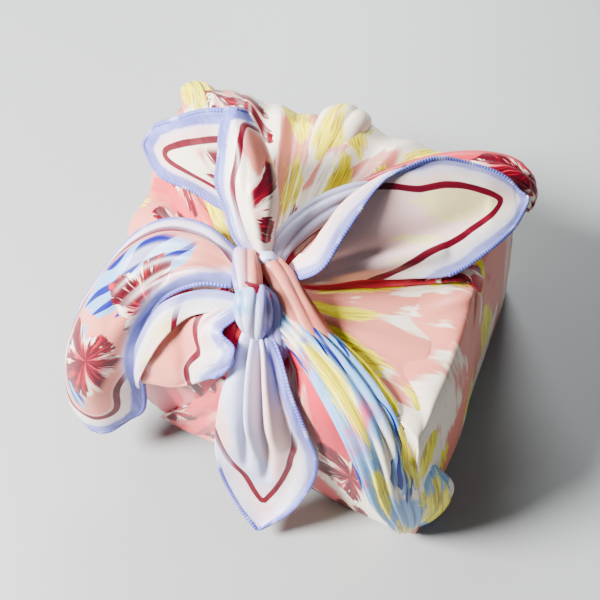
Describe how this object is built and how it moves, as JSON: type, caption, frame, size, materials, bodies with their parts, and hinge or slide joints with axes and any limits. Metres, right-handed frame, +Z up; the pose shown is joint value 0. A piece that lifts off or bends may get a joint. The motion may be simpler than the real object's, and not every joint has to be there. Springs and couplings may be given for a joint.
{
  "type": "furoshiki wrap",
  "caption": "Square satin cloth wrapped round a box-like parcel and knotted on top, with petal-like free ends.",
  "frame": {"origin": "middle of the flat underside, on the surface that the parcel stands on", "axes": "+X along the parcel's front edge, +Y to its back, +Z up through the knot"},
  "size_m": [0.2264, 0.2198, 0.174],
  "materials": {
    "printed_satin": null
  },
  "bodies": {
    "root": {"wrap": "printed_satin"}
  },
  "joints": []
}
